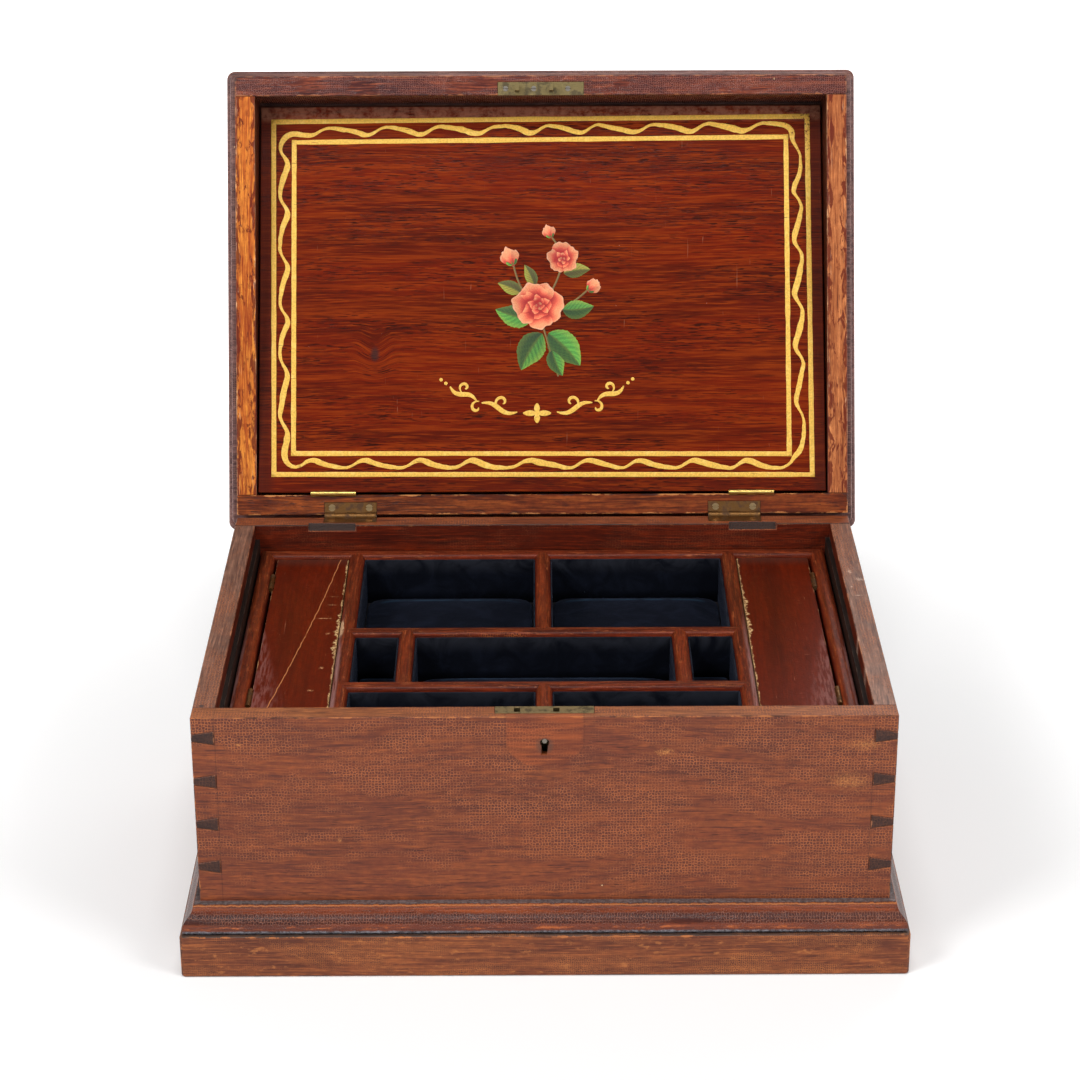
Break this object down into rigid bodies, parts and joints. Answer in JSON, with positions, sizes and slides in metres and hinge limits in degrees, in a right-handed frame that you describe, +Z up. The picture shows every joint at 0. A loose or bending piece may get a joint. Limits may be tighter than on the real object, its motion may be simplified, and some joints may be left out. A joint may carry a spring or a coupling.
{
  "type": "travelling writing box",
  "caption": "Dovetailed wooden travelling box on a moulded plinth: the hinged lid holds a document flap, the lift-out till has velvet compartments and small hinged lids.",
  "frame": {"origin": "centre of the case's underside, on the surface it stands on", "axes": "+Z up, -Y towards the front with the keyhole, +X to the right seen from the front"},
  "size_m": [0.39, 0.4238, 0.394],
  "materials": {
    "case_mahogany": "old varnish, crazed",
    "moulding_mahogany": "dark varnish",
    "lid_mahogany": "worn varnish",
    "varnished_flap": "gloss varnish with gold painted lines",
    "till_mahogany": "worn varnish",
    "pale_lining_wood": "bare",
    "aged_brass": "aged",
    "screw_brass": "aged",
    "screw_steel": "worn",
    "pin_steel": "worn",
    "navy_velvet": "velvet pile"
  },
  "bodies": {
    "case": {"case_front": "case_mahogany", "case_back": "case_mahogany", "case_left_side": "case_mahogany", "case_right_side": "case_mahogany", "case_bottom": "case_mahogany", "plinth_front_board": "case_mahogany", "plinth_back_board": "case_mahogany", "plinth_left_board": "case_mahogany", "plinth_right_board": "case_mahogany", "plinth_moulding": "moulding_mahogany", "side_lining_left": "pale_lining_wood", "side_lining_right": "pale_lining_wood", "till_bearers": "pale_lining_wood", "lock_case": "aged_brass", "lock_drill_pin": "pin_steel", "case_screws": "screw_steel", "hinge_case_leaves": "aged_brass", "hinge_pins": "pin_steel"},
    "lid": {"hinge_lid_leaves": "aged_brass", "lid_front_rail": "lid_mahogany", "lid_back_rail": "lid_mahogany", "lid_left_rail": "lid_mahogany", "lid_right_rail": "lid_mahogany", "lid_top_board": "lid_mahogany", "link_plate": "aged_brass", "lid_screws": "screw_steel", "flap_hinge_rail_leaves": "aged_brass", "flap_hinge_pins": "pin_steel"},
    "flap": {"document_flap": "varnished_flap", "flap_hinge_flap_leaves": "aged_brass", "flap_screws": "screw_brass"},
    "till": {"till_front_wall": "till_mahogany", "till_back_wall": "till_mahogany", "till_left_wall": "till_mahogany", "till_right_wall": "till_mahogany", "till_bottom": "till_mahogany", "till_left_bar": "till_mahogany", "till_right_bar": "till_mahogany", "till_back_cross_rail": "till_mahogany", "till_front_cross_rail": "till_mahogany", "till_back_divider": "till_mahogany", "till_front_divider": "till_mahogany", "till_middle_left_divider": "till_mahogany", "till_middle_right_divider": "till_mahogany", "till_lid_rests": "till_mahogany", "velvet_linings": "navy_velvet", "pad_back_left": "navy_velvet", "pad_back_right": "navy_velvet", "pad_middle_small_left": "navy_velvet", "pad_middle_wide": "navy_velvet", "pad_middle_small_right": "navy_velvet", "pad_front_left": "navy_velvet", "pad_front_right": "navy_velvet", "till_hinge_wall_leaves": "aged_brass", "till_hinge_pins": "pin_steel"},
    "left_lid": {"till_left_lid": "till_mahogany", "till_left_lid_leaves": "aged_brass"},
    "right_lid": {"till_right_lid": "till_mahogany", "till_right_lid_leaves": "aged_brass"},
    "bolt": {"lock_bolt": "aged_brass"}
  },
  "joints": [
    {"name": "lid_hinge", "type": "hinge", "parent": "case", "child": "lid", "pos_m": [0, 0.133, 0.15015], "axis": [-1, 0, 0], "range_deg": [-113, 0]},
    {"name": "flap_hinge", "type": "hinge", "parent": "lid", "child": "flap", "pos_m": [0, 0.13835, 0.16287], "axis": [1, 0, 0], "range_deg": [0, 124]},
    {"name": "till_lift", "type": "slide", "parent": "case", "child": "till", "axis": [0, 0, 1], "range_m": [0, 0.08]},
    {"name": "left_lid_hinge", "type": "hinge", "parent": "till", "child": "left_lid", "pos_m": [-0.1589, 0, 0.1325], "axis": [0, -1, 0], "range_deg": [0, 100]},
    {"name": "right_lid_hinge", "type": "hinge", "parent": "till", "child": "right_lid", "pos_m": [0.1589, 0, 0.1325], "axis": [0, 1, 0], "range_deg": [0, 100]},
    {"name": "bolt_slide", "type": "slide", "parent": "case", "child": "bolt", "axis": [-1, 0, 0], "range_m": [0, 0.0045]}
  ]
}
